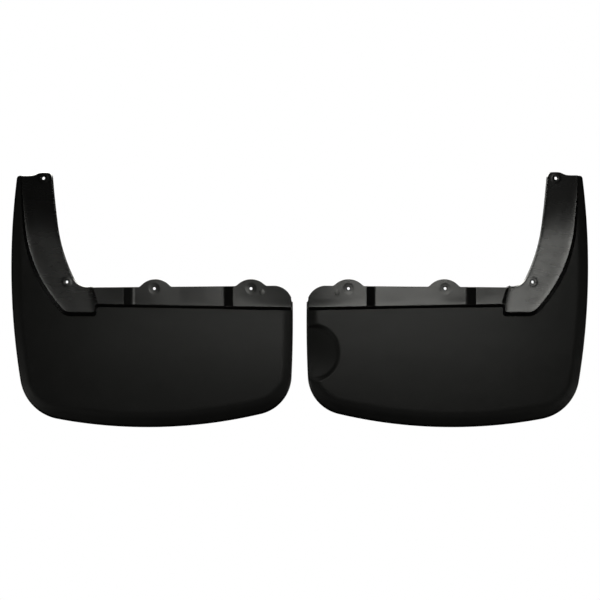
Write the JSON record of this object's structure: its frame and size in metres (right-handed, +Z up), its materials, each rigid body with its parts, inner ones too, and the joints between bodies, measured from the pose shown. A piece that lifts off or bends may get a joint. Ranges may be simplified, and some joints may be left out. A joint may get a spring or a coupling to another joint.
{
  "type": "mud flap",
  "caption": "Left and right moulded mud flaps for a wide wheel arch, each a rolled-edge panel with a side fin, a stepped flange with screw ears and a raised arch strip.",
  "frame": {"origin": "midway between the two guards across and through their depth, at the height of the panels' lowest point", "axes": "+X towards the right guard, +Y forwards towards the wheel (the back of the guards), +Z up"},
  "size_m": [1.2308, 0.046, 0.5424],
  "materials": {
    "panel_plastic": "fine grain, matt black",
    "flange_plastic": "smooth satin black",
    "strip_plastic": "smooth satin black"
  },
  "bodies": {
    "root": {"left_panel": "panel_plastic", "left_mounting_flange": "flange_plastic", "left_arch_strip": "strip_plastic", "right_panel": "panel_plastic", "right_mounting_flange": "flange_plastic", "right_arch_strip": "strip_plastic"}
  },
  "joints": []
}
